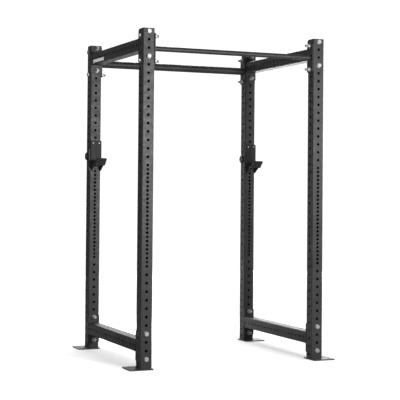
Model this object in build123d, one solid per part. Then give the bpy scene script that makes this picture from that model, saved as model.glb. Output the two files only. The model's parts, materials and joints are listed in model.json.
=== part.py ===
from build123d import *

import os

# Power cage. Millimetres, +X to the user's right, +Y from the front to the rear, +Z up.
# The origin is on the floor, in the middle of the footprint.

# ---- Driving dimensions -------------------------------------------------------------

PITCH = 50.8                     # hole pitch of every tube, 2 in
TUBE = 76.2                      # square tube, 3 in
WALL = 3.05                      # 11 gauge
TUBE_RADIUS = 6.5                # outside corner
UPRIGHT_X = 584.2                # upright centre line to the middle of the cage
SIDE_TUBE = 920.75               # crossmember tube between its flanges
FLANGE_THICK = 6.35              # end flange plate, 1/4 in
FLANGE_HEIGHT = 188.0
FLANGE_RADIUS = 10.0

HOLE_RADIUS = 8.6                # clearance hole for 16 mm or 5/8 in hardware
FIRST_HOLE_Z = 60.0              # lowest hole row of the front and rear faces
TOP_ROW = 39                     # rows are counted upwards from 0
BENCH_ROWS = (11, 23)            # between these rows the front and rear holes are half a pitch apart
TUBE_TOP = 2057.0

FOOT_SIZE = 152.4
FOOT_THICK = 6.35
FOOT_RADIUS = 10.0
ANCHOR_RADIUS = 7.0              # 1/2 in floor anchors
ANCHOR_HALF_SPACING = 50.8

THIN_BAR = 31.75                 # front pull-up bar diameter
FAT_BAR = 50.8                   # rear pull-up bar diameter
BAR_WALL = 3.4

CAP_THICK = 3.0
CAP_PLUG = 3.5
CAP_PLUG_WALL = 2.5
CAP_GAP = 0.1

BOLT = 16.0
BOLT_LENGTH = 120.0
HEX_FLATS = 24.0
HEAD_HEIGHT = 10.0
NUT_HEIGHT = 14.8
WASHER = 30.0
WASHER_BORE = 17.5
WASHER_THICK = 3.0
THREAD_PITCH = 2.0
THREAD_DEPTH = 1.0
THREAD_TURNS = 8                 # as many as show past the nut
BORE_GAP = 0.05

BADGE_LENGTH = 224.0
BADGE_HEIGHT = 22.0
BADGE_THICK = 1.5
BADGE_RADIUS = 3.0
BADGE_FROM_END = 50.0            # rear end of the crossmember tube to the badge
BADGE_DROP = 20.5                # badge centre below the tube's centre line
RIVET_HEAD = 3.2
RIVET_SHANK = 1.6
RIVET_INSET = 8.0

# J-cup: "out" is the distance in front of the face of the upright that it hangs on.
CUP_GAP = 0.4                    # running gap between the cup and the upright
CUP_LINER = 3.0                  # plastic between the back plate and the upright
CUP_SIDE_LINER = 2.0
CUP_STEEL = 6.35
CUP_PAD = 9.5
CUP_SHELF_PAD = 12.65
CUP_BOTTOM = 1206.0
CUP_TOP = 1410.0
CUP_FLANGE_TOP = 1355.0          # the side flange ends below the back plate
CUP_SHELF_Z = 1241.0             # underside of the shelf
CUP_SHELF_OUT = 95.0             # lower front edge of the lip
CUP_LIP_HEIGHT = 47.0            # the lip flares out at 45 degrees
CUP_LIP_PAD_PROUD = 2.0
CUP_LIP_CORNER = 9.0
CUP_GUSSET_OUT = 66.0
CUP_RIGHT = 38.1                 # right edge, from the upright's centre line
CUP_SHELF_LEFT = -31.75
CUP_NOTCH_LEFT = -22.0
CUP_NOTCH_TOP = 1223.0
CUP_LINER_BOTTOM = 1230.0
CUP_CORNER = 7.0
CUP_FLANGE_DEPTH = 36.0          # side flange, back from the upright's face
CUP_ROW = 24.5                   # side hole that the pin goes into
EAR_RADIUS = 29.0
PIN = 15.6
PIN_REACH = 40.0                 # pin inside the upright, from its side face
PIN_HEAD = 50.0
PIN_HEAD_THICK = 8.0
SCREW = 6.0
SCREW_HEAD = 11.0
LIP_SCREW_HEAD = 24.0
SCREW_HEAD_THICK = 3.0
PAD_SCREW_X = 21.5
PAD_SCREW_DROP = 16.0            # below the top of the cup

# ---- Worked out from the driving dimensions -----------------------------------------

HALF = TUBE / 2
UPRIGHT_Y = SIDE_TUBE / 2 + FLANGE_THICK + HALF
UPPER_ROW = TOP_ROW - 1.5        # crossmember centre lines lie midway between their bolts
LOWER_ROW = 1.5
BAR_ROW = TOP_ROW - 2
BOLT_STEP = 1.5 * PITCH          # flange bolts above and below the flange's centre
BAR_FACE_X = UPRIGHT_X - HALF    # inner side face of an upright

SIDES = {"left": -1, "right": 1}
ENDS = {"front": -1, "rear": 1}


def row_z(row):
    """Height of a hole row above the floor."""
    return FIRST_HOLE_Z + row * PITCH


# ---- Shared shapes ------------------------------------------------------------------


def square_tube(length):
    """Tube along +Z from the origin."""
    outer = RectangleRounded(TUBE, TUBE, TUBE_RADIUS)
    inner = RectangleRounded(TUBE - 2 * WALL, TUBE - 2 * WALL, TUBE_RADIUS - WALL)
    return extrude(outer - inner, length)


def drill(body, places, direction, radius=HOLE_RADIUS, reach=2 * TUBE):
    """Cut a round hole through the body at each place, along the direction."""
    tools = [Plane(origin=place, z_dir=direction) * Cylinder(radius, reach) for place in places]
    return body - tools


def flange_plate(direction, centre):
    """End flange, its back face on the centre point, its thickness along the direction."""
    plate = extrude(RectangleRounded(TUBE, FLANGE_HEIGHT, FLANGE_RADIUS), FLANGE_THICK)
    plate = drill(plate, [(0, -BOLT_STEP, 0), (0, BOLT_STEP, 0)], (0, 0, 1))
    across = Vector(*direction).cross(Vector(0, 0, 1))
    return Plane(origin=centre, x_dir=across, z_dir=direction) * plate


def hexagon(height, chamfer_ends):
    """Hexagon on z = 0 with its corners turned off at the top, and at the bottom if asked."""
    prism = extrude(RegularPolygon(HEX_FLATS / 2, 6, major_radius=False), height)
    turned = Pos(0, 0, height / 2) * Cylinder(HEX_FLATS * 0.572, height)
    rims = turned.edges().filter_by(GeomType.CIRCLE).sort_by(Axis.Z)
    turned = chamfer(rims if chamfer_ends else rims[-1:], 1.6)
    return prism & turned


def hex_bolt():
    """Bolt along +Z: the head's bearing face is on z = 0 and the head is below it."""
    radius = BOLT / 2
    outline = [(0, -1), (radius, -1)]
    for turn in range(THREAD_TURNS, 0, -1):
        top = BOLT_LENGTH - 1.5 - (turn - 1) * THREAD_PITCH
        outline.append((radius, top - THREAD_PITCH))
        outline.append((radius - THREAD_DEPTH, top - THREAD_PITCH / 2))
    outline.append((radius, BOLT_LENGTH - 1.5))
    outline.append((radius - 1.5, BOLT_LENGTH))
    outline.append((0, BOLT_LENGTH))
    shank = revolve(make_face(Plane.XZ * Polyline(*outline, close=True)), Axis.Z)
    return shank + Rot(180, 0, 0) * hexagon(HEAD_HEIGHT, False)


def hex_nut():
    """Nut on z = 0, bored to let the thread through."""
    return hexagon(NUT_HEIGHT, True) - Cylinder(BOLT / 2 + BORE_GAP, 4 * NUT_HEIGHT)


def washer():
    """Flat washer on z = 0."""
    ring = Circle(WASHER / 2) - Circle(WASHER_BORE / 2)
    return extrude(ring, WASHER_THICK)


def button_screw(length, head_width):
    """Screw along -Z: the domed head stands on z = 0."""
    head = Pos(0, 0, SCREW_HEAD_THICK / 2) * Cylinder(head_width / 2, SCREW_HEAD_THICK)
    head = fillet(head.edges().filter_by(GeomType.CIRCLE).sort_by(Axis.Z)[-1:], 2.0)
    drive = extrude(Plane.XY.offset(SCREW_HEAD_THICK - 1.4) * RegularPolygon(2.2, 6), 2)
    shank = Pos(0, 0, -length / 2) * Cylinder(SCREW / 2, length)
    return head + shank - drive


def save(name, *solids):
    """Write one node. A group of like pieces stays a group of separate solids."""
    node = solids[0] if len(solids) == 1 else Compound(children=list(solids))
    node.label = name
    export_step(node, f"parts/{name}.step")


# ---- Frame --------------------------------------------------------------------------


def upright():
    """Upright on its own centre line: both hole directions go through both walls."""
    tube = Pos(0, 0, FOOT_THICK) * square_tube(TUBE_TOP - FOOT_THICK)
    face_rows = list(range(TOP_ROW + 1))
    face_rows += [row + 0.5 for row in range(*BENCH_ROWS)]
    side_rows = [row - 0.5 for row in range(TOP_ROW + 1)]
    tube = drill(tube, [(0, 0, row_z(row)) for row in face_rows], (0, 1, 0))
    return drill(tube, [(0, 0, row_z(row)) for row in side_rows], (1, 0, 0))


def foot_plate(side):
    """Foot plate: its inner edge is flush with the tube, its outer half takes the anchors."""
    shift = side * (FOOT_SIZE - TUBE) / 2
    plate = Pos(shift, 0, 0) * extrude(RectangleRounded(FOOT_SIZE, FOOT_SIZE, FOOT_RADIUS), FOOT_THICK)
    anchor_x = side * (HALF + (FOOT_SIZE - TUBE) / 2)
    places = [(anchor_x, way * ANCHOR_HALF_SPACING, 0) for way in (-1, 1)]
    return drill(plate, places, (0, 0, 1), ANCHOR_RADIUS)


def tube_cap():
    """Plastic cap with a rounded top and a short hollow plug inside the tube."""
    top = Pos(0, 0, TUBE_TOP) * extrude(RectangleRounded(TUBE, TUBE, TUBE_RADIUS), CAP_THICK)
    top = fillet(top.edges().group_by(Axis.Z)[-1], 1.8)
    outer = TUBE - 2 * WALL - 2 * CAP_GAP
    inner = outer - 2 * CAP_PLUG_WALL
    ring = RectangleRounded(outer, outer, TUBE_RADIUS - WALL) - RectangleRounded(inner, inner, 1.5)
    return top + Pos(0, 0, TUBE_TOP - CAP_PLUG) * extrude(ring, CAP_PLUG)


def crossmember(row):
    """Side tube along Y, drilled through its two side faces at half-pitch places."""
    tube = Plane(origin=(0, -SIDE_TUBE / 2, row_z(row)), z_dir=(0, 1, 0)) * square_tube(SIDE_TUBE)
    count = int(SIDE_TUBE / PITCH)
    places = [(0, (index + 0.5 - count / 2) * PITCH, row_z(row)) for index in range(count)]
    return drill(tube, places, (1, 0, 0))


def crossmember_flanges(row):
    """The pair of plates at the ends of one crossmember."""
    return [
        flange_plate((0, end, 0), (0, end * SIDE_TUBE / 2, row_z(row)))
        for end in ENDS.values()
    ]


def pullup_bar(diameter):
    """Round bar along X between its two flange plates."""
    length = 2 * (BAR_FACE_X - FLANGE_THICK)
    ring = Circle(diameter / 2) - Circle(diameter / 2 - BAR_WALL)
    start = Plane(origin=(-length / 2, 0, row_z(BAR_ROW)), z_dir=(1, 0, 0))
    return start * extrude(ring, length)


def pullup_flanges():
    """The pair of plates at the ends of one pull-up bar."""
    return [
        flange_plate((-side, 0, 0), (side * BAR_FACE_X, 0, row_z(BAR_ROW)))
        for side in SIDES.values()
    ]


def fasten(face, inward):
    """Bolt, two washers and nut: the head is on the outer face, the nut past the flange."""
    face = Vector(*face)
    inward = Vector(*inward)
    under_head = face - inward * WASHER_THICK
    past_flange = face + inward * (TUBE + FLANGE_THICK)
    on_washer = past_flange + inward * WASHER_THICK
    bolt = Plane(origin=under_head, z_dir=inward) * hex_bolt()
    nut = Plane(origin=on_washer, z_dir=inward) * hex_nut()
    washers = [Plane(origin=place, z_dir=inward) * washer() for place in (under_head, past_flange)]
    return bolt, nut, washers


def save_fasteners(name, places):
    """Write the bolts, nuts and washers of one set of joints, each kind in its own node."""
    bolts = []
    nuts = []
    washers = []
    for face, inward in places:
        bolt, nut, pair = fasten(face, inward)
        bolts.append(bolt)
        nuts.append(nut)
        washers += pair
    save(f"{name}_bolts", *bolts)
    save(f"{name}_nuts", *nuts)
    save(f"{name}_washers", *washers)


def crossmember_joints(row):
    """Outer faces and directions of the eight bolts of one crossmember level."""
    return [
        ((side * UPRIGHT_X, end * (UPRIGHT_Y + HALF), row_z(row) + step), (0, -end, 0))
        for side in SIDES.values()
        for end in ENDS.values()
        for step in (-BOLT_STEP, BOLT_STEP)
    ]


def pullup_joints():
    """Outer faces and directions of the eight pull-up bar bolts."""
    return [
        ((side * (UPRIGHT_X + HALF), end * UPRIGHT_Y, row_z(BAR_ROW) + step), (-side, 0, 0))
        for side in SIDES.values()
        for end in ENDS.values()
        for step in (-BOLT_STEP, BOLT_STEP)
    ]


def badge_plane():
    """Middle of the badge on the outer face of the upper left crossmember."""
    middle_y = SIDE_TUBE / 2 - BADGE_FROM_END - BADGE_LENGTH / 2
    centre = (-UPRIGHT_X - HALF, middle_y, row_z(UPPER_ROW) - BADGE_DROP)
    return Plane(origin=centre, x_dir=(0, -1, 0), z_dir=(-1, 0, 0))


def rivet_places():
    """Ends of the badge, in its own plane."""
    reach = BADGE_LENGTH / 2 - RIVET_INSET
    return [(-reach, 0, 0), (reach, 0, 0)]


def badge():
    """Blank plate with eased edges and a shallow raised border."""
    plate = extrude(RectangleRounded(BADGE_LENGTH, BADGE_HEIGHT, BADGE_RADIUS), BADGE_THICK)
    plate = chamfer(plate.edges().group_by(Axis.Z)[-1], 0.4)
    field = RectangleRounded(BADGE_LENGTH - 4 * RIVET_INSET, BADGE_HEIGHT - 6, BADGE_RADIUS)
    plate -= Pos(0, 0, BADGE_THICK - 0.4) * extrude(field, 1)
    plate = drill(plate, rivet_places(), (0, 0, 1), RIVET_SHANK + BORE_GAP)
    return badge_plane() * plate


def badge_rivets():
    """Domed rivets: their shanks go through the badge and the tube's wall."""
    length = BADGE_THICK + WALL
    head = Pos(0, 0, BADGE_THICK + 0.7) * Cylinder(RIVET_HEAD, 1.4)
    head = fillet(head.edges().filter_by(GeomType.CIRCLE).sort_by(Axis.Z)[-1:], 1.0)
    rivet = head + Pos(0, 0, BADGE_THICK - length / 2) * Cylinder(RIVET_SHANK, length)
    return [badge_plane() * Pos(*place) * rivet for place in rivet_places()]


# ---- J-cup --------------------------------------------------------------------------
# Made on the centre line of an upright: y = 0 is the face that the cup hangs on, and the
# cup stands towards -Y. Profiles are drawn as (out, height).

CUP_PLATE_BACK = CUP_GAP + CUP_LINER
CUP_PLATE_FRONT = CUP_PLATE_BACK + CUP_STEEL
CUP_PAD_FRONT = CUP_PLATE_FRONT + CUP_PAD
CUP_SHELF_TOP = CUP_SHELF_Z + CUP_STEEL
CUP_REST_Z = CUP_SHELF_TOP + CUP_SHELF_PAD
CUP_LINER_X = -HALF - CUP_GAP
CUP_FLANGE_X = CUP_LINER_X - CUP_SIDE_LINER
CUP_LEFT = CUP_FLANGE_X - CUP_STEEL
SLOPE = 2**0.5                   # across a 45 degree plate over its thickness
LIP_TOP = CUP_SHELF_Z + CUP_LIP_HEIGHT


def along_x(points, left, right):
    """Extrude a closed (out, height) profile from the left to the right."""
    outline = Polyline(*[(-out, height) for out, height in points], close=True)
    return extrude(Plane.YZ.offset(left) * make_face(outline), right - left)


def slab(left, right, out_from, out_to, low, high):
    """Block by its limits."""
    size = (right - left, out_to - out_from, high - low)
    centre = ((left + right) / 2, -(out_from + out_to) / 2, (low + high) / 2)
    return Pos(*centre) * Box(*size)


def lip_out(height, layer=0.0):
    """Distance out of the lip's outer face at a height, less a layer's thickness."""
    return CUP_SHELF_OUT + height - CUP_SHELF_Z - layer * SLOPE


def round_lip(solid, top):
    """Round the two top corners of a layer of the lip."""
    width = CUP_RIGHT - CUP_SHELF_LEFT
    tall = 4 * CUP_LIP_HEIGHT
    centre = ((CUP_SHELF_LEFT + CUP_RIGHT) / 2, 0, top - tall / 2)
    outline = Plane(origin=centre, x_dir=(1, 0, 0), z_dir=(0, -1, 0)) * RectangleRounded(
        width, tall, CUP_LIP_CORNER
    )
    return solid & extrude(outline, 2 * CUP_SHELF_OUT)


def ear_profile(left, right, low):
    """Side flange with a round ear about the pin."""
    strip = slab(left, right, -CUP_FLANGE_DEPTH, CUP_PLATE_BACK, low, CUP_FLANGE_TOP)
    top_rear = strip.edges().filter_by(Axis.X).sort_by(lambda e: e.center().Y + e.center().Z)[-1:]
    strip = fillet(top_rear, CUP_CORNER)
    ear = Plane(origin=(left, HALF, row_z(CUP_ROW)), z_dir=(1, 0, 0)) * Pos(
        0, 0, (right - left) / 2
    ) * Cylinder(EAR_RADIUS, right - left)
    return strip + ear


def pin_bore(radius):
    """Cutter along the pin."""
    return Plane(origin=(CUP_LEFT, HALF, row_z(CUP_ROW)), z_dir=(1, 0, 0)) * Cylinder(radius, TUBE)


def pad_screw_seats():
    """Seat, way the head faces, shank length and head width of the back pad's screws."""
    length = CUP_PAD + CUP_STEEL - 1
    height = CUP_TOP - PAD_SCREW_DROP
    return [
        ((way * PAD_SCREW_X, -CUP_PAD_FRONT, height), (0, -1, 0), length, SCREW_HEAD)
        for way in (-1, 1)
    ]


def shelf_screw_seats():
    """The same for the screw through the lip and the one up through the shelf."""
    middle_x = (CUP_SHELF_LEFT + CUP_RIGHT) / 2
    lip_z = CUP_SHELF_Z + CUP_LIP_HEIGHT / 2
    shelf_y = -(CUP_PAD_FRONT + CUP_SHELF_OUT) / 2
    return [
        ((middle_x, -lip_out(lip_z), lip_z), (0, -1, -1), CUP_STEEL + CUP_PAD - 3, LIP_SCREW_HEAD),
        ((middle_x, shelf_y, CUP_SHELF_Z), (0, 0, -1), CUP_STEEL + CUP_SHELF_PAD - 5, SCREW_HEAD),
    ]


def screws(seats):
    """A screw on each seat."""
    return [Plane(origin=seat, z_dir=way) * button_screw(length, head) for seat, way, length, head in seats]


def screw_bores():
    """Clearance for the shanks of the cup's screws."""
    return [
        Plane(origin=seat, z_dir=way) * Pos(0, 0, -length / 2) * Cylinder(SCREW / 2 + BORE_GAP, length + 1)
        for seat, way, length, head in pad_screw_seats() + shelf_screw_seats()
    ]


def cup_bracket():
    """Welded steel: back plate, side flange with its ear, shelf, flared lip and gussets."""
    plate = slab(CUP_LEFT, CUP_RIGHT, CUP_PLATE_BACK, CUP_PLATE_FRONT, CUP_BOTTOM, CUP_TOP)
    notch = slab(CUP_NOTCH_LEFT, CUP_RIGHT - CUP_STEEL, 0, 2 * CUP_PLATE_FRONT, 0, CUP_NOTCH_TOP)
    over_flange = slab(CUP_LEFT - 1, CUP_LINER_X, 0, 2 * CUP_PLATE_FRONT, CUP_FLANGE_TOP, CUP_TOP + 1)
    plate -= [notch, over_flange]
    plate = fillet(plate.edges().filter_by(Axis.Y).group_by(Axis.Z)[-1], CUP_CORNER)
    flange = ear_profile(CUP_LEFT, CUP_FLANGE_X, CUP_BOTTOM)
    shelf = [
        (CUP_PLATE_FRONT, CUP_SHELF_Z),
        (CUP_SHELF_OUT, CUP_SHELF_Z),
        (lip_out(LIP_TOP), LIP_TOP),
        (lip_out(LIP_TOP, CUP_STEEL), LIP_TOP),
        (lip_out(CUP_SHELF_TOP, CUP_STEEL), CUP_SHELF_TOP),
        (CUP_PLATE_FRONT, CUP_SHELF_TOP),
    ]
    gusset = [
        (CUP_PLATE_FRONT, CUP_BOTTOM),
        (CUP_GUSSET_OUT, CUP_SHELF_Z),
        (CUP_PLATE_FRONT, CUP_SHELF_Z),
    ]
    bracket = plate + flange + round_lip(along_x(shelf, CUP_SHELF_LEFT, CUP_RIGHT), LIP_TOP)
    for left in (CUP_SHELF_LEFT, CUP_RIGHT - CUP_STEEL):
        bracket += along_x(gusset, left, left + CUP_STEEL)
    return bracket


def cup_back_pad():
    """Plastic pad on the back plate, from the shelf to the top."""
    pad = slab(-CUP_RIGHT, CUP_RIGHT, CUP_PLATE_FRONT, CUP_PAD_FRONT, CUP_SHELF_TOP, CUP_TOP)
    tops = pad.edges().filter_by(Axis.Y).group_by(Axis.Z)[-1]
    pad = fillet(tops, CUP_CORNER)
    return chamfer(pad.faces().sort_by(Axis.Y)[0].edges().sort_by(Axis.Z)[-1:], 1.5)


def cup_shelf_pad():
    """Plastic pad that the bar lies on."""
    profile = [
        (CUP_PAD_FRONT, CUP_SHELF_TOP),
        (lip_out(CUP_SHELF_TOP, CUP_STEEL + CUP_PAD), CUP_SHELF_TOP),
        (lip_out(CUP_REST_Z, CUP_STEEL + CUP_PAD), CUP_REST_Z),
        (CUP_PAD_FRONT, CUP_REST_Z),
    ]
    return along_x(profile, CUP_SHELF_LEFT, CUP_RIGHT)


def cup_lip_pad():
    """Plastic pad inside the flared lip, a little higher than the steel."""
    high = LIP_TOP + CUP_LIP_PAD_PROUD
    profile = [
        (lip_out(CUP_SHELF_TOP, CUP_STEEL), CUP_SHELF_TOP),
        (lip_out(high, CUP_STEEL), high),
        (lip_out(high, CUP_STEEL + CUP_PAD), high),
        (lip_out(CUP_SHELF_TOP, CUP_STEEL + CUP_PAD), CUP_SHELF_TOP),
    ]
    return round_lip(along_x(profile, CUP_SHELF_LEFT, CUP_RIGHT), high)


def cup_pin():
    """Cross pin with a round head against the ear."""
    shank_end = -HALF + PIN_REACH
    shank_length = shank_end - CUP_LEFT
    shank = Pos(0, 0, shank_length / 2) * Cylinder(PIN / 2, shank_length)
    shank = chamfer(shank.edges().filter_by(GeomType.CIRCLE).sort_by(Axis.Z)[-1:], 2.0)
    head = Pos(0, 0, -PIN_HEAD_THICK / 2) * Cylinder(PIN_HEAD / 2, PIN_HEAD_THICK)
    head = fillet(head.edges().filter_by(GeomType.CIRCLE).sort_by(Axis.Z)[:1], 3.0)
    return Plane(origin=(CUP_LEFT, HALF, row_z(CUP_ROW)), z_dir=(1, 0, 0)) * (head + shank)


def save_cup(side_name):
    """Write the nodes of one J-cup where it hangs on its rear upright."""
    place = Pos(SIDES[side_name] * UPRIGHT_X, UPRIGHT_Y - HALF, 0)
    bores = screw_bores()
    bracket = cup_bracket() - bores - pin_bore(PIN / 2 + BORE_GAP)
    liner = slab(CUP_LINER_X, CUP_RIGHT, CUP_GAP, CUP_PLATE_BACK, CUP_LINER_BOTTOM, CUP_TOP)
    side_liner = ear_profile(CUP_FLANGE_X, CUP_LINER_X, CUP_LINER_BOTTOM) - pin_bore(HOLE_RADIUS)
    name = f"{side_name}_cup"
    save(f"{name}_bracket", place * bracket)
    save(f"{name}_rear_liner", place * liner)
    save(f"{name}_side_liner", place * side_liner)
    save(f"{name}_back_pad", place * (cup_back_pad() - bores))
    save(f"{name}_shelf_pad", place * (cup_shelf_pad() - bores))
    save(f"{name}_lip_pad", place * (cup_lip_pad() - bores))
    save(f"{name}_pin", place * cup_pin())
    save(f"{name}_pad_screws", *[place * screw for screw in screws(pad_screw_seats())])
    save(f"{name}_shelf_screws", *[place * screw for screw in screws(shelf_screw_seats())])


# ---- Assembly -----------------------------------------------------------------------


def main():
    os.makedirs("parts", exist_ok=True)
    one_upright = upright()
    one_cap = tube_cap()
    for side_name, side in SIDES.items():
        for end_name, end in ENDS.items():
            corner = Pos(side * UPRIGHT_X, end * UPRIGHT_Y, 0)
            save(f"{end_name}_{side_name}_upright", corner * one_upright)
            save(f"{end_name}_{side_name}_foot", corner * foot_plate(side))
            save(f"{end_name}_{side_name}_cap", corner * one_cap)
        across = Pos(side * UPRIGHT_X, 0, 0)
        for level, row in {"upper": UPPER_ROW, "lower": LOWER_ROW}.items():
            tube = across * crossmember(row)
            if level == "upper" and side < 0:
                rivet_centres = [(badge_plane() * Pos(*place)).position for place in rivet_places()]
                tube = drill(tube, rivet_centres, (1, 0, 0), RIVET_SHANK + BORE_GAP, TUBE)
            save(f"{level}_{side_name}_crossmember", tube)
            save(f"{level}_{side_name}_flanges", *[across * plate for plate in crossmember_flanges(row)])
    for end_name, diameter in {"front": THIN_BAR, "rear": FAT_BAR}.items():
        along = Pos(0, ENDS[end_name] * UPRIGHT_Y, 0)
        save(f"{end_name}_pullup_bar", along * pullup_bar(diameter))
        save(f"{end_name}_pullup_flanges", *[along * plate for plate in pullup_flanges()])
    save_fasteners("upper", crossmember_joints(UPPER_ROW))
    save_fasteners("lower", crossmember_joints(LOWER_ROW))
    save_fasteners("pullup", pullup_joints())
    save("badge", badge())
    save("badge_rivets", *badge_rivets())
    for side_name in SIDES:
        save_cup(side_name)


main()
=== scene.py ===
import json
import math

import bpy
from mathutils import Matrix, Vector


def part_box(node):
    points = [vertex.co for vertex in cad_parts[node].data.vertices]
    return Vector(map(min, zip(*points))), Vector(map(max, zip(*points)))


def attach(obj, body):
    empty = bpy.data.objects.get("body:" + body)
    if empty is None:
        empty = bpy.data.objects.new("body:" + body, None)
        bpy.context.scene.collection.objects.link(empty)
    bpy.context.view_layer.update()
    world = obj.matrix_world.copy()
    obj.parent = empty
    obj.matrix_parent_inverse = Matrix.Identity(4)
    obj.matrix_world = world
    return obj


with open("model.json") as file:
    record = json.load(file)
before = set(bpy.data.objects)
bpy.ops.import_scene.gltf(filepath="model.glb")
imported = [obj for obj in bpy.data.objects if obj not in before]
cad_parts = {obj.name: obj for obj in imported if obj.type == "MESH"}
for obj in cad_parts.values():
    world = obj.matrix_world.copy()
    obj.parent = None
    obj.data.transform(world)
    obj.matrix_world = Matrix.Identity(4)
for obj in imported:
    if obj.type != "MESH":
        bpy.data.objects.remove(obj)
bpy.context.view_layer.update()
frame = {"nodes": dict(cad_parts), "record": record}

# Metres and watts throughout. +X to the right, +Y to the rear, +Z up.

TUBE_RADIUS = 0.0065             # outside corner of the square tubes
STEEL = 0.00635                  # plates of the J-cups

# Weld beads
FOOT_WELD = 0.0032               # radius of the bead
END_WELD = 0.0030
SHELF_WELD = 0.0024
FOOT_WELD_INSET = 0.001          # from the tube's outline in to the middle of the bead
END_WELD_INSET = 0.0012
RIPPLE = 0.0028                  # from one ripple of a weld to the next
RIPPLE_DEPTH = 0.18              # share of the radius
SAMPLES_PER_RIPPLE = 4
SLOW_SWING = (0.05, 0.37)        # share of the radius, and radians for each sample
SLOWER_SWING = (0.04, 0.113)
BEAD_SIDES = 8
CORNER_STEPS = 8
SAME_POINT = 1e-6

# Texture of the finishes: scale and detail of each noise, and the band of it that counts
TONE_NOISE = (9, 6)
TONE_BAND = (0.35, 0.65)
SHEEN_NOISE = (35, 5)
SHEEN_BAND = (0.3, 0.7)
GRAIN_DETAIL = 3
GRAIN_STRENGTH = 0.6
EDGE_SAMPLES = 6

# Camera
SENSOR = 36.0                    # millimetres, as the lens
LENS = 106.5
SHIFT = -0.0905                  # share of the picture's width
YAW = -23.32                     # degrees, as the next two
PITCH = 1.25
ROLL = 0.487
CAMERA_PLACE = (-3.12, -7.22, 1.0836)

# Backdrop and floor
SEEN_WHITE = 1.1
AMBIENT = 0.099
FLOOR_REACH = 30
FLOOR_TONE = 0.8
BOUNCE_TONE = 0.6
BOUNCE_DROP = 0.001
GROUND_ROUGHNESS = 0.9


# ---- Finishes -----------------------------------------------------------------------


def textured(name, dark, light, rough, grain, metallic=0.0, edge=0.0008, stretch=(1, 1, 1)):
    """A finish with drifting tone and sheen, fine grain and eased edges.

    dark and light are the colours it drifts between and rough is its range of roughness.
    grain is the relief's (scale, depth), edge is the eased radius and stretch scales the
    texture along the three axes.
    """
    mat = bpy.data.materials.new(name)
    mat.use_nodes = True
    nodes = mat.node_tree.nodes
    links = mat.node_tree.links
    shader = nodes["Principled BSDF"]
    shader.inputs["Metallic"].default_value = metallic

    coords = nodes.new("ShaderNodeTexCoord")
    mapping = nodes.new("ShaderNodeMapping")
    mapping.inputs["Scale"].default_value = stretch
    links.new(coords.outputs["Object"], mapping.inputs["Vector"])

    def noise(scale, detail):
        texture = nodes.new("ShaderNodeTexNoise")
        texture.inputs["Scale"].default_value = scale
        texture.inputs["Detail"].default_value = detail
        links.new(mapping.outputs["Vector"], texture.inputs["Vector"])
        return texture.outputs["Fac"]

    def remap(value, band, result=(0, 1)):
        node = nodes.new("ShaderNodeMapRange")
        node.inputs["From Min"].default_value = band[0]
        node.inputs["From Max"].default_value = band[1]
        node.inputs["To Min"].default_value = result[0]
        node.inputs["To Max"].default_value = result[1]
        links.new(value, node.inputs["Value"])
        return node.outputs["Result"]

    tone = nodes.new("ShaderNodeMix")
    tone.data_type = "RGBA"
    tone.inputs["A"].default_value = (*dark, 1)
    tone.inputs["B"].default_value = (*light, 1)
    links.new(remap(noise(*TONE_NOISE), TONE_BAND), tone.inputs["Factor"])
    links.new(tone.outputs["Result"], shader.inputs["Base Color"])

    links.new(remap(noise(*SHEEN_NOISE), SHEEN_BAND, rough), shader.inputs["Roughness"])

    eased = nodes.new("ShaderNodeBevel")
    eased.samples = EDGE_SAMPLES
    eased.inputs["Radius"].default_value = edge
    relief = nodes.new("ShaderNodeBump")
    relief.inputs["Strength"].default_value = GRAIN_STRENGTH
    relief.inputs["Distance"].default_value = grain[1]
    links.new(noise(grain[0], GRAIN_DETAIL), relief.inputs["Height"])
    links.new(eased.outputs["Normal"], relief.inputs["Normal"])
    links.new(relief.outputs["Normal"], shader.inputs["Normal"])
    return mat


FINISHES = {
    "powder_coat": textured(
        "powder_coat_finish",
        dark=(0.022, 0.022, 0.024),
        light=(0.034, 0.034, 0.036),
        rough=(0.42, 0.54),
        grain=(1200, 0.00015),
        edge=0.0012,
    ),
    "zinc_hardware": textured(
        "zinc_finish",
        dark=(0.38, 0.405, 0.42),
        light=(0.51, 0.53, 0.55),
        rough=(0.42, 0.57),
        grain=(500, 0.00006),
        metallic=0.75,
    ),
    "cap_plastic": textured(
        "cap_plastic_finish",
        dark=(0.014, 0.014, 0.014),
        light=(0.022, 0.022, 0.022),
        rough=(0.55, 0.68),
        grain=(1400, 0.00015),
    ),
    "liner_plastic": textured(
        "liner_plastic_finish",
        dark=(0.010, 0.010, 0.011),
        light=(0.017, 0.017, 0.018),
        rough=(0.56, 0.70),
        grain=(260, 0.0002),
        stretch=(1, 1, 0.12),
    ),
    "pin_steel": textured(
        "black_oxide_finish",
        dark=(0.040, 0.040, 0.042),
        light=(0.064, 0.062, 0.062),
        rough=(0.30, 0.42),
        grain=(900, 0.00008),
        metallic=0.4,
    ),
    "badge_metal": textured(
        "brushed_badge_finish",
        dark=(0.62, 0.62, 0.63),
        light=(0.76, 0.76, 0.77),
        rough=(0.19, 0.28),
        grain=(900, 0.00004),
        metallic=0.85,
        edge=0.0004,
        stretch=(1, 0.015, 1),
    ),
}


def paint(obj, slot):
    """Give an object the finish of a material slot."""
    obj.data.materials.clear()
    obj.data.materials.append(FINISHES[slot])


# ---- Welds --------------------------------------------------------------------------


def resample(path, closed):
    """Points along the path, a fraction of a ripple apart."""
    ends = path[1:] + path[:1] if closed else path[1:]
    step = RIPPLE / SAMPLES_PER_RIPPLE
    points = []
    for a, b in zip(path, ends):
        count = max(1, round((b - a).length / step))
        points += [a.lerp(b, index / count) for index in range(count)]
    return points if closed else points + [path[-1]]


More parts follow.
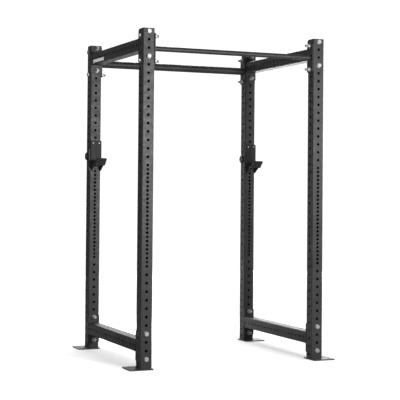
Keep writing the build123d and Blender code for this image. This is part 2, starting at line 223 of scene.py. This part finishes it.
def bead_radius(radius, index):
    """Radius at a sample: it swells with each ripple and drifts a little along the weld."""
    phase = index % SAMPLES_PER_RIPPLE / SAMPLES_PER_RIPPLE
    swell = 1 - RIPPLE_DEPTH + RIPPLE_DEPTH * math.sin(math.pi * phase)
    drift = sum(share * math.sin(turn * index) for share, turn in (SLOW_SWING, SLOWER_SWING))
    return radius * (swell + drift)


def bead(name, body, path, normal, radius, closed=True):
    """Weld bead on a flat path: a row of ripples, each one lapping over the last."""
    points = resample(path, closed)
    count = len(points)
    vertices = []
    for index, point in enumerate(points):
        after = points[(index + 1) % count] if closed or index < count - 1 else point
        before = points[index - 1] if closed or index > 0 else point
        across = (after - before).normalized().cross(normal)
        size = bead_radius(radius, index)
        for side in range(BEAD_SIDES):
            turn = 2 * math.pi * side / BEAD_SIDES
            vertices.append(point + size * (math.cos(turn) * across + math.sin(turn) * normal))
    faces = []
    for index in range(count if closed else count - 1):
        ring = index * BEAD_SIDES
        following = (index + 1) % count * BEAD_SIDES
        for side in range(BEAD_SIDES):
            beside = (side + 1) % BEAD_SIDES
            faces.append((ring + side, ring + beside, following + beside, following + side))
    if not closed:
        faces.append(tuple(reversed(range(BEAD_SIDES))))
        faces.append(tuple(range(len(vertices) - BEAD_SIDES, len(vertices))))
    mesh = bpy.data.meshes.new(name)
    mesh.from_pydata(vertices, [], faces)
    mesh.update()
    mesh.shade_smooth()
    obj = bpy.data.objects.new(name, mesh)
    bpy.context.scene.collection.objects.link(obj)
    paint(obj, "powder_coat")
    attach(obj, body)


def ring_path(centre, u, v, half, corner):
    """Outline of a rounded square about a centre, or a circle where the corner is the half."""
    quarter_turn = math.pi / 2
    path = []
    for quarter in range(4):
        start = quarter * quarter_turn
        reach_u = math.copysign(half - corner, math.cos(start + quarter_turn / 2))
        reach_v = math.copysign(half - corner, math.sin(start + quarter_turn / 2))
        for step in range(CORNER_STEPS + 1):
            turn = start + step / CORNER_STEPS * quarter_turn
            along_u = reach_u + corner * math.cos(turn)
            along_v = reach_v + corner * math.sin(turn)
            path.append(centre + along_u * u + along_v * v)
    return [point for point, last in zip(path, path[-1:] + path[:-1]) if (point - last).length > SAME_POINT]


def middle(low, high):
    """Middle of a box."""
    return (Vector(low) + Vector(high)) / 2


def welds():
    """Every joint that is welded on the real cage."""
    x, y, z = Vector((1, 0, 0)), Vector((0, 1, 0)), Vector((0, 0, 1))
    for end in ("front", "rear"):
        for side in ("left", "right"):
            low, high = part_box(f"{end}_{side}_upright")
            centre = middle(low, high)
            centre.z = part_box(f"{end}_{side}_foot")[1][2]
            half = (high[0] - low[0]) / 2 - FOOT_WELD_INSET
            path = ring_path(centre, x, y, half, TUBE_RADIUS)
            bead(f"{end}_{side}_foot_weld", "frame", path, z, FOOT_WELD)
        low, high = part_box(f"{end}_pullup_bar")
        radius = (high[2] - low[2]) / 2
        for side, at in {"left": low[0], "right": high[0]}.items():
            centre = middle(low, high)
            centre.x = at
            bead(f"{end}_{side}_bar_weld", "frame", ring_path(centre, y, z, radius, radius), x, END_WELD)
    for level in ("upper", "lower"):
        for side in ("left", "right"):
            low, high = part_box(f"{level}_{side}_crossmember")
            half = (high[0] - low[0]) / 2 - END_WELD_INSET
            for end, at in {"front": low[1], "rear": high[1]}.items():
                centre = middle(low, high)
                centre.y = at
                path = ring_path(centre, x, z, half, TUBE_RADIUS)
                bead(f"{level}_{side}_{end}_weld", "frame", path, y, END_WELD)
    for side in ("left", "right"):
        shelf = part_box(f"{side}_cup_shelf_pad")
        plate_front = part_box(f"{side}_cup_back_pad")[1][1]
        underside = shelf[0][2] - STEEL
        left = Vector((shelf[0][0] + STEEL, plate_front, underside))
        right = Vector((shelf[1][0] - STEEL, plate_front, underside))
        bead(f"{side}_cup_weld", f"{side}_cup", [left, right], z, SHELF_WELD, closed=False)


# ---- Camera, light and floor --------------------------------------------------------


def camera():
    """A long lens a little above half the cage's height, almost level."""
    data = bpy.data.cameras.new("camera")
    data.sensor_width = SENSOR
    data.lens = LENS
    data.shift_y = SHIFT
    cam = bpy.data.objects.new("camera", data)
    yaw, pitch, roll = math.radians(YAW), math.radians(PITCH), math.radians(ROLL)
    right = Vector((math.cos(yaw), math.sin(yaw), 0))
    ahead = Vector((-math.sin(yaw), math.cos(yaw), 0))
    up = Vector((0, 0, 1))
    ahead, up = (
        math.cos(pitch) * ahead + math.sin(pitch) * up,
        -math.sin(pitch) * ahead + math.cos(pitch) * up,
    )
    right, up = (
        math.cos(roll) * right + math.sin(roll) * up,
        -math.sin(roll) * right + math.cos(roll) * up,
    )
    turn = Matrix((right, up, -ahead)).transposed().to_4x4()
    cam.matrix_world = Matrix.Translation(CAMERA_PLACE) @ turn
    bpy.context.scene.collection.objects.link(cam)
    bpy.context.scene.camera = cam


def backdrop():
    """White to the camera, dimmer as a light."""
    world = bpy.data.worlds.new("world")
    world.use_nodes = True
    nodes = world.node_tree.nodes
    links = world.node_tree.links
    seen = nodes["Background"]
    lit = nodes.new("ShaderNodeBackground")
    for node, strength in ((seen, SEEN_WHITE), (lit, AMBIENT)):
        node.inputs["Color"].default_value = (1, 1, 1, 1)
        node.inputs["Strength"].default_value = strength
    path = nodes.new("ShaderNodeLightPath")
    mix = nodes.new("ShaderNodeMixShader")
    links.new(path.outputs["Is Camera Ray"], mix.inputs[0])
    links.new(lit.outputs["Background"], mix.inputs[1])
    links.new(seen.outputs["Background"], mix.inputs[2])
    links.new(mix.outputs["Shader"], nodes["World Output"].inputs["Surface"])
    bpy.context.scene.world = world


def softbox(name, place, target, size, power):
    """Rectangular light of a width and a height that the camera doesn't see."""
    data = bpy.data.lights.new(name, "AREA")
    data.shape = "RECTANGLE"
    data.size = size[0]
    data.size_y = size[1]
    data.energy = power
    obj = bpy.data.objects.new(name, data)
    obj.location = place
    obj.rotation_euler = (Vector(target) - Vector(place)).to_track_quat("-Z", "Y").to_euler()
    obj.visible_camera = False
    bpy.context.scene.collection.objects.link(obj)
    return obj


def sun(name, strength, towards, spread):
    """Even light from far away, spread over an angle in degrees."""
    data = bpy.data.lights.new(name, "SUN")
    data.energy = strength
    data.angle = math.radians(spread)
    obj = bpy.data.objects.new(name, data)
    obj.rotation_euler = Vector(towards).to_track_quat("-Z", "Y").to_euler()
    bpy.context.scene.collection.objects.link(obj)
    return obj


def ground(name, tone, height):
    """Plain matt sheet."""
    reach = FLOOR_REACH
    corners = [(x * reach, y * reach, height) for x, y in ((-1, -1), (1, -1), (1, 1), (-1, 1))]
    mesh = bpy.data.meshes.new(name)
    mesh.from_pydata(corners, [], [(0, 1, 2, 3)])
    obj = bpy.data.objects.new(name, mesh)
    mat = bpy.data.materials.new(f"{name}_paint")
    mat.use_nodes = True
    shader = mat.node_tree.nodes["Principled BSDF"]
    shader.inputs["Base Color"].default_value = (tone, tone, tone, 1)
    shader.inputs["Roughness"].default_value = GROUND_ROUGHNESS
    shader.inputs["Specular IOR Level"].default_value = 0.0
    mesh.materials.append(mat)
    bpy.context.scene.collection.objects.link(obj)
    return obj


def floor():
    """A white floor to look at, with a light of its own, and a greyer one that the cage reflects.

    Returns the collection that keeps a light off both.
    """
    seen = ground("floor", FLOOR_TONE, 0)
    seen.visible_diffuse = False
    seen.visible_glossy = False
    seen.visible_shadow = False
    reflected = ground("bounce", BOUNCE_TONE, -BOUNCE_DROP)
    reflected.visible_camera = False
    lit = bpy.data.collections.new("floor_only")
    lit.objects.link(seen)
    floor_light = sun("floor_light", strength=4.0, towards=(-0.35, -0.35, -1), spread=130)
    floor_light.light_linking.receiver_collection = lit
    off_floor = bpy.data.collections.new("off_floor")
    for sheet in (seen, reflected):
        off_floor.objects.link(sheet)
    for member in off_floor.collection_objects:
        member.light_linking.link_state = "EXCLUDE"
    return off_floor


def lights(off_floor):
    """Soft light from the front, through the cage from the rear, and from the sides."""
    softbox("key", place=(0.68, -4.2, 1.68), target=(0.68, 0, 1.68), size=(0.45, 0.6), power=105)
    softbox("front_fill", place=(1.3, -2.4, 1.5), target=(1.3, 0, 1.5), size=(0.3, 0.6), power=12)
    softbox("inner_fill", place=(-0.55, 4.2, 1.1), target=(0.5, 0, 1.1), size=(0.3, 2.2), power=11)
    softbox("rear", place=(1.8, 6.8, 0.5), target=(-0.4, 0, 0.4), size=(1.6, 1.0), power=7)
    softbox("rear_right", place=(4.4, 6.8, 1.0), target=(0.6, 0, 0.8), size=(1.6, 2.0), power=92)
    softbox("rear_left", place=(-2.7, 6.5, 2.65), target=(-0.62, 0.3, 1.9), size=(0.8, 0.8), power=2.6)
    softbox("floor_back", place=(0.1, 1.5, 0.6), target=(0.1, 1.5, 0), size=(1.4, 1.0), power=13)
    rims = (
        softbox("right_side", place=(4.6, 0.6, 1.8), target=(0.6, 0, 1.1), size=(1.6, 1.6), power=150),
        softbox("back", place=(1.0, 3.8, 4.2), target=(0, 0.4, 1.0), size=(2.0, 1.2), power=150),
        softbox("left_side", place=(-4.5, -1.2, 1.2), target=(-0.6, 0, 1.1), size=(1.2, 1.2), power=24),
    )
    for rim in rims:
        rim.light_linking.receiver_collection = off_floor
    sun("top", strength=0.4, towards=(0, 0, -1), spread=100)


# ---- The scene ----------------------------------------------------------------------

for part in frame["record"]["subparts"]:
    paint(frame["nodes"][part["node"]], part["material_slot"])
welds()
camera()
backdrop()
lights(floor())
bpy.context.scene.view_settings.view_transform = "Standard"
